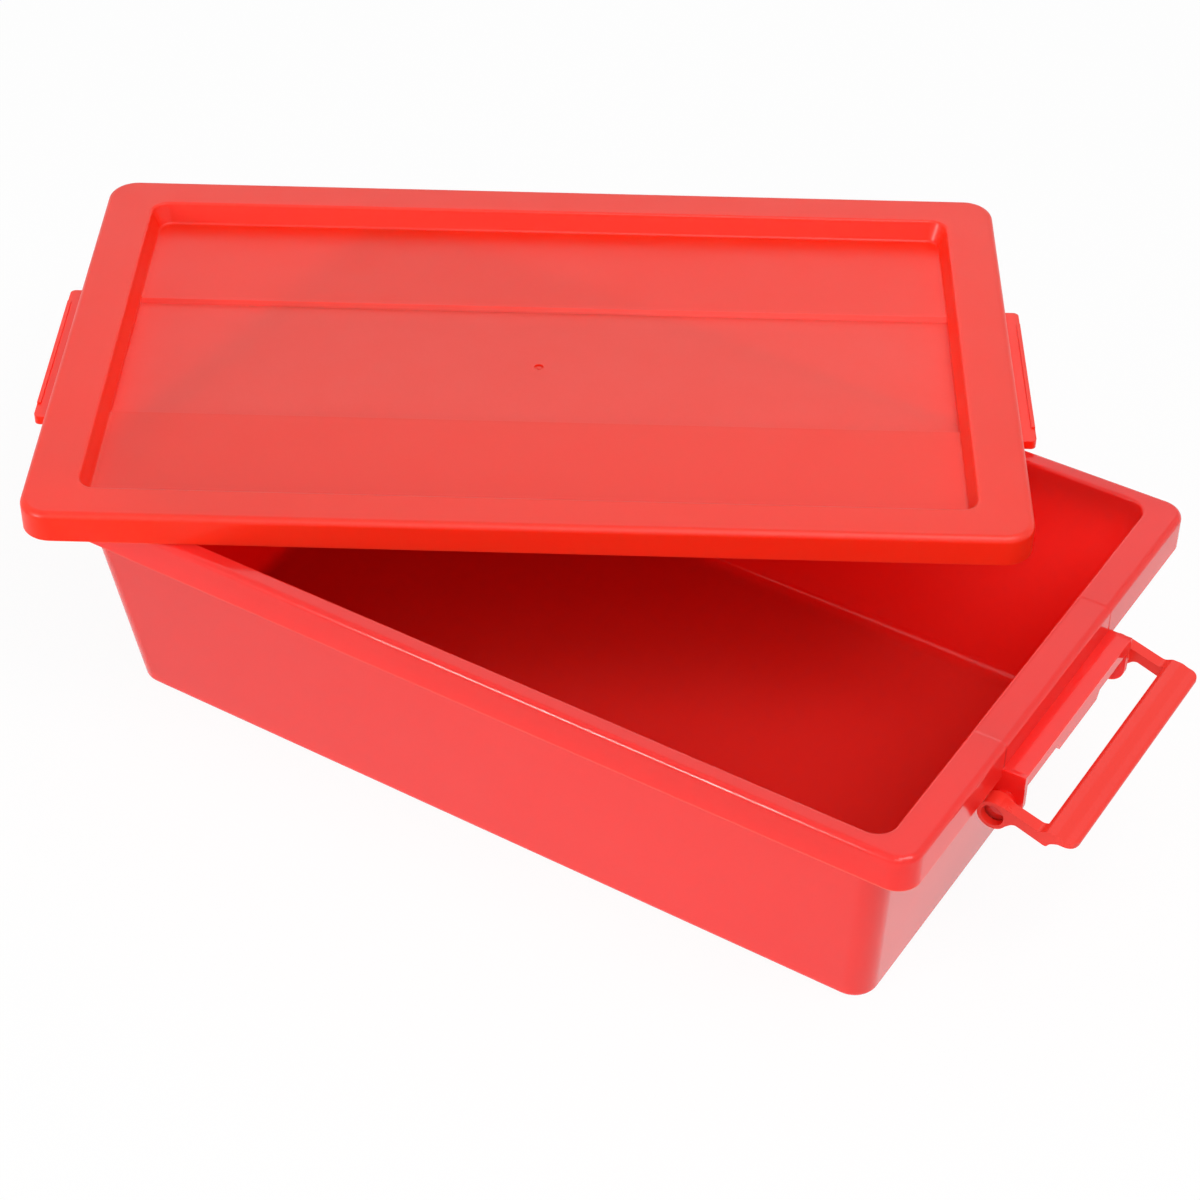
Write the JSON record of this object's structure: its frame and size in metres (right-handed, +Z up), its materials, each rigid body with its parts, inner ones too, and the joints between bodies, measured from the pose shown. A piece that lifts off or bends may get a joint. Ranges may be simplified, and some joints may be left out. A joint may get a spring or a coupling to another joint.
{
  "type": "storage box with lid and handles",
  "caption": "Shallow stackable plastic storage box with a tapered tub, a lift-off recessed lid lying askew on the rim, and a swinging bail handle at each short end.",
  "frame": {"origin": "centre of the tub's flat foot, on the surface that the box stands on", "axes": "+X along the length towards the handle that is held out level, +Y across the width, +Z up out of the tub"},
  "size_m": [0.4688, 0.3552, 0.1028],
  "materials": {
    "tub_plastic": "glossy moulded polypropylene",
    "lid_plastic": "satin translucent polypropylene",
    "handle_plastic": "semi-gloss moulded polypropylene"
  },
  "bodies": {
    "tub": {"tub": "tub_plastic"},
    "lid": {"lid": "lid_plastic"},
    "handle_right": {"handle_right": "handle_plastic"},
    "handle_left": {"handle_left": "handle_plastic"}
  },
  "joints": [
    {"name": "lid_lift", "type": "slide", "parent": "tub", "child": "lid", "axis": [0, 0, 1], "range_m": [0, 0.15]},
    {"name": "handle_right_swing", "type": "hinge", "parent": "tub", "child": "handle_right", "pos_m": [0.1743, 0, 0.0683], "axis": [0, -1, 0], "range_deg": [-118, 78]},
    {"name": "handle_left_swing", "type": "hinge", "parent": "tub", "child": "handle_left", "pos_m": [-0.1743, 0, 0.0683], "axis": [0, 1, 0], "range_deg": [-26, 139]}
  ]
}
